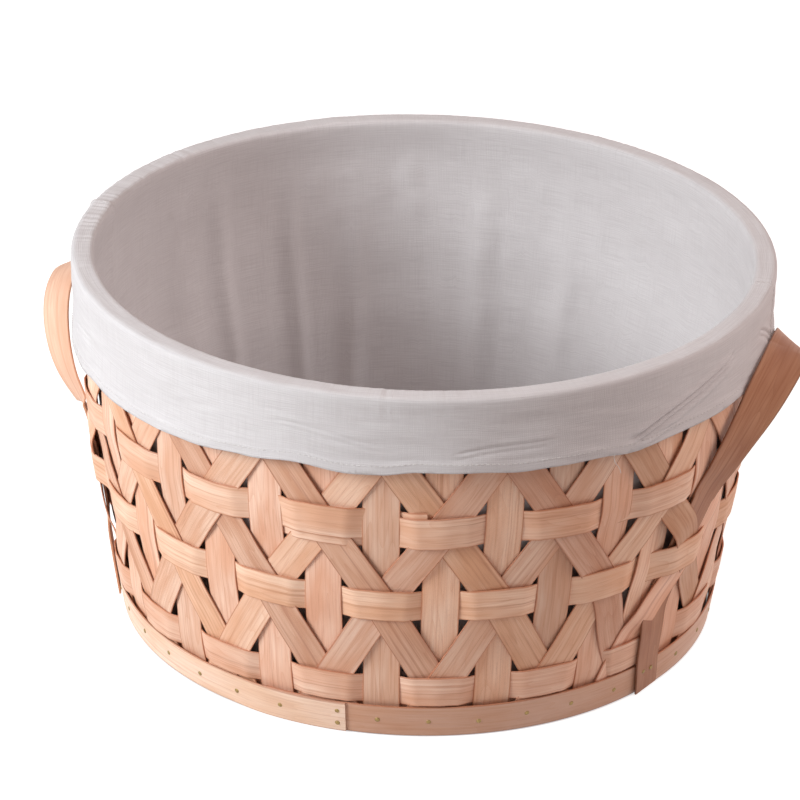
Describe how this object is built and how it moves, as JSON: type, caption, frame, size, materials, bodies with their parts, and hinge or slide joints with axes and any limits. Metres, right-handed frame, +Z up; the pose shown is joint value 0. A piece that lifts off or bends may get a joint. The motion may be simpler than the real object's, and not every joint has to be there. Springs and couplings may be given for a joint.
{
  "type": "laundry basket",
  "caption": "Round basket of woven chip-wood strips with hooped foot and rim, two side strap handles and a lift-out cloth liner whose cuff folds over the rim.",
  "frame": {"origin": "centre of the base board's underside, on the floor", "axes": "+Z up, +X through the middle of the higher handle, -Y the side that faces the viewer"},
  "size_m": [0.4815, 0.4294, 0.237],
  "materials": {
    "upright_wood": "bare planed chip veneer, matt",
    "diagonal_wood": "bare planed chip veneer, matt",
    "weaver_wood": "bare planed chip veneer, matt",
    "hoop_wood": "bare planed veneer, matt",
    "handle_wood": "steam-bent strip, satin",
    "plywood": "sanded plywood, matt",
    "cotton": "plain-weave unbleached cotton, matt"
  },
  "bodies": {
    "basket": {"upright_01": "upright_wood", "upright_02": "upright_wood", "upright_03": "upright_wood", "upright_04": "upright_wood", "upright_05": "upright_wood", "upright_06": "upright_wood", "upright_07": "upright_wood", "upright_08": "upright_wood", "upright_09": "upright_wood", "upright_10": "upright_wood", "upright_11": "upright_wood", "upright_12": "upright_wood", "upright_13": "upright_wood", "upright_14": "upright_wood", "upright_15": "upright_wood", "upright_16": "upright_wood", "upright_17": "upright_wood", "upright_18": "upright_wood", "upright_19": "upright_wood", "upright_20": "upright_wood", "upright_21": "upright_wood", "upright_22": "upright_wood", "upright_23": "upright_wood", "upright_24": "upright_wood", "upright_25": "upright_wood", "upright_26": "upright_wood", "upright_27": "upright_wood", "upright_28": "upright_wood", "upright_29": "upright_wood", "upright_30": "upright_wood", "upright_31": "upright_wood", "upright_32": "upright_wood", "upright_33": "upright_wood", "upright_34": "upright_wood", "upright_35": "upright_wood", "upright_36": "upright_wood", "diagonals_left_1": "diagonal_wood", "diagonals_left_2": "diagonal_wood", "diagonals_left_3": "diagonal_wood", "diagonals_left_4": "diagonal_wood", "diagonals_right_1": "diagonal_wood", "diagonals_right_2": "diagonal_wood", "diagonals_right_3": "diagonal_wood", "diagonals_right_4": "diagonal_wood", "weaver_1": "weaver_wood", "weaver_2": "weaver_wood", "weaver_3": "weaver_wood", "weaver_4": "weaver_wood", "foot_hoop_inner": "hoop_wood", "foot_hoop_outer": "hoop_wood", "rim_hoop_inner": "hoop_wood", "rim_hoop_outer": "hoop_wood", "base_board": "plywood", "handle_right": "handle_wood", "handle_left": "handle_wood"},
    "liner": {"liner_floor": "cotton", "liner_wall_front": "cotton", "liner_wall_back": "cotton", "liner_cuff_front": "cotton", "liner_cuff_back": "cotton"}
  },
  "joints": [
    {"name": "liner_lift", "type": "slide", "parent": "basket", "child": "liner", "axis": [0, 0, 1], "range_m": [0, 0.24]}
  ]
}
